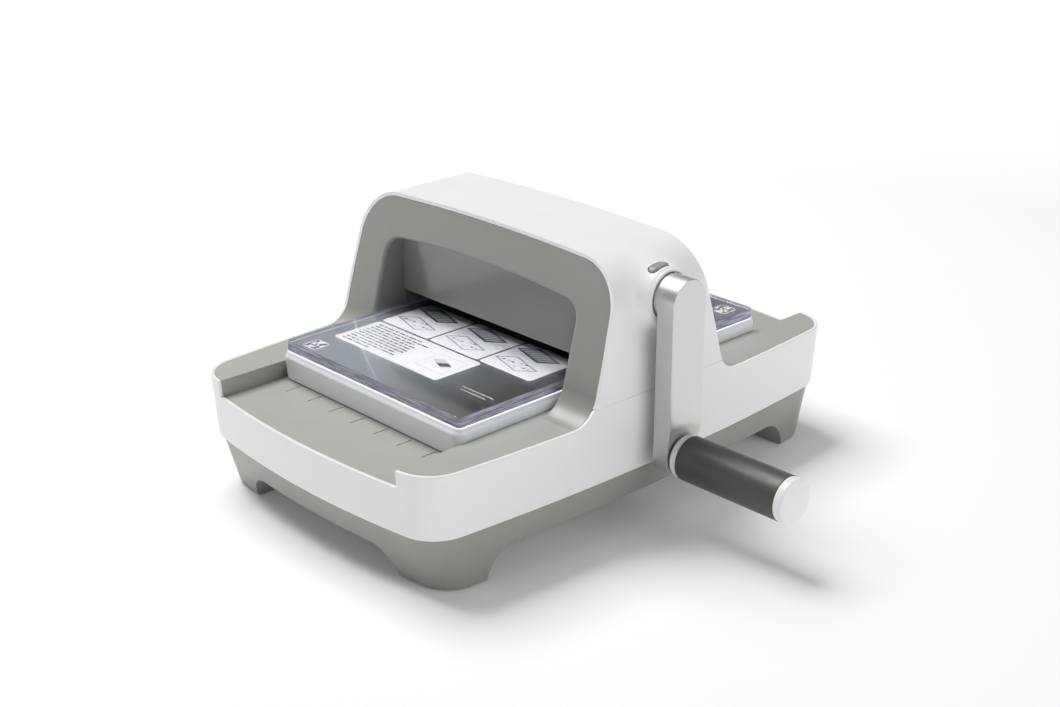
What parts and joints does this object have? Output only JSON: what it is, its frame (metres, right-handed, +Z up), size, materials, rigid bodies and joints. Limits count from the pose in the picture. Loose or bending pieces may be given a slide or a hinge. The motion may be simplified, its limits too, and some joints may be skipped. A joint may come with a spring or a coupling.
{
  "type": "die cutting machine",
  "caption": "Hand-cranked roller press for paper dies: a channel carries a platform and clear pads between two geared steel rollers under a rounded arch",
  "frame": {"origin": "on the surface it stands on, at the middle of the whole footprint, crank included; the body's own middle is 49 mm towards -X", "axes": "+X across the machine towards the crank, +Y along the feed towards the rear, +Z up"},
  "size_m": [0.3236, 0.348, 0.161],
  "materials": {
    "white_plastic": "fine satin moulded",
    "grey_plastic": "fine matt moulded",
    "dark_plastic": "matt moulded",
    "foot_rubber": "matt",
    "frame_steel": "zinc plated",
    "screw_steel": "dark zinc",
    "roller_steel": "ground",
    "bush_bronze": "sintered",
    "gear_nylon": "satin",
    "crank_silver": "silver satin paint",
    "grip_rubber": "matt",
    "button_grey": "satin",
    "printed_card": "printed and laminated",
    "clear_pad": "clear polished sheet"
  },
  "bodies": {
    "housing": {"base_shell": "grey_plastic", "foot_pads": "foot_rubber", "side_belt": "white_plastic", "deck_tray": "grey_plastic", "front_bezel": "grey_plastic", "rear_bezel": "grey_plastic", "arch_cover": "white_plastic", "front_roller_cover": "dark_plastic", "rear_roller_cover": "dark_plastic", "left_liner": "dark_plastic", "right_liner": "dark_plastic", "left_frame_plate": "frame_steel", "right_frame_plate": "frame_steel", "tie_bars": "frame_steel", "frame_screws": "screw_steel", "base_screws": "screw_steel", "deck_screws": "screw_steel", "upper_left_bush": "bush_bronze", "upper_right_bush": "bush_bronze", "lower_left_bush": "bush_bronze", "lower_right_bush": "bush_bronze", "crank_inner_bush": "bush_bronze", "crank_outer_bush": "bush_bronze", "gear_bracket": "frame_steel", "bracket_posts": "frame_steel", "button_guide": "white_plastic"},
    "upper_roller": {"upper_roller": "roller_steel", "upper_sync_gear": "gear_nylon", "drive_gear": "gear_nylon", "upper_roller_clips": "screw_steel"},
    "lower_roller": {"lower_roller": "roller_steel", "lower_sync_gear": "gear_nylon", "lower_roller_clips": "screw_steel"},
    "crank": {"pinion_shaft": "frame_steel", "pinion_clip": "screw_steel", "crank_stub": "frame_steel", "crank_arm": "crank_silver", "grip_spindle": "frame_steel"},
    "grip": {"grip_core": "gear_nylon", "grip_sleeve": "grip_rubber", "grip_collar": "white_plastic", "grip_end_cap": "white_plastic"},
    "button": {"release_button": "button_grey", "latch_plate": "frame_steel", "button_springs": "frame_steel"},
    "platform": {"platform_top": "white_plastic", "platform_sole": "white_plastic", "instruction_card": "printed_card", "lower_pad": "clear_pad", "upper_pad": "clear_pad"}
  },
  "joints": [
    {"name": "crank_spin", "type": "hinge", "parent": "housing", "child": "crank", "pos_m": [0.07, 0, 0.136], "axis": [1, 0, 0], "continuous": true},
    {"name": "upper_roller_spin", "type": "hinge", "parent": "housing", "child": "upper_roller", "pos_m": [-0.049, 0, 0.1024], "axis": [1, 0, 0], "continuous": true},
    {"name": "lower_roller_spin", "type": "hinge", "parent": "housing", "child": "lower_roller", "pos_m": [-0.049, 0, 0.0514], "axis": [1, 0, 0], "continuous": true},
    {"name": "grip_spin", "type": "hinge", "parent": "crank", "child": "grip", "pos_m": [0.086, 0, 0.044], "axis": [1, 0, 0], "continuous": true},
    {"name": "button_press", "type": "slide", "parent": "housing", "child": "button", "axis": [0, 0, -1], "range_m": [0, 0.0025], "stiffness_N_per_m": 900, "springref_m": -0.002, "deforming": ["button_springs"]},
    {"name": "platform_feed", "type": "slide", "parent": "housing", "child": "platform", "axis": [0, 1, 0], "range_m": [-0.115, 0.115]}
  ],
  "couplings": [
    {"joint": "upper_roller_spin", "follows": "crank_spin", "ratio": -0.4},
    {"joint": "lower_roller_spin", "follows": "crank_spin", "ratio": 0.48696}
  ]
}
